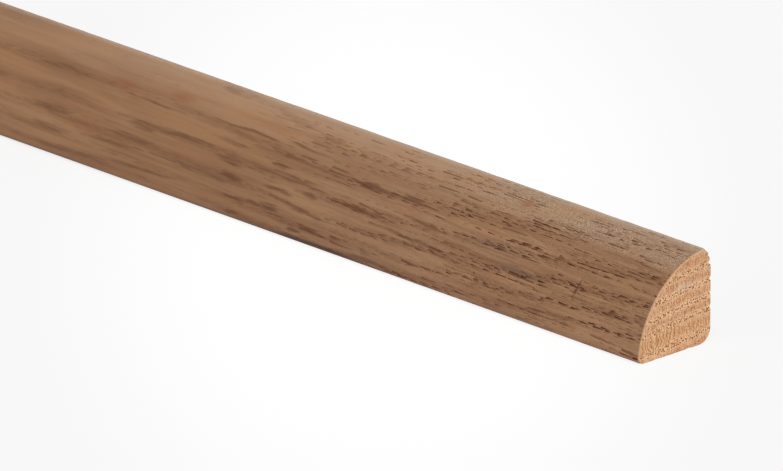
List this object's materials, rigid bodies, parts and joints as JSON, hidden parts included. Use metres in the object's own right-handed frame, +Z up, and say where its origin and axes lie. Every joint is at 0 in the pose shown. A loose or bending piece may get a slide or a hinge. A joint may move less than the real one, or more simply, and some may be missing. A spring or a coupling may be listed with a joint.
{
  "type": "quarter round moulding",
  "caption": "Solid red oak trim strip of quarter round section, with flat base and back, eased corners and square-sawn ends, nailed along the joint of a floor and a wall or skirting.",
  "frame": {"origin": "middle of the base, halfway along the strip", "axes": "+X along the strip, +Y towards the wall that the back lies against, +Z up from the floor; the round face looks out to -Y and up"},
  "size_m": [2.4384, 0.019, 0.019],
  "materials": {
    "red_oak": "planed and unfinished, matte"
  },
  "bodies": {
    "root": {"quarter_round": "red_oak"}
  },
  "joints": []
}
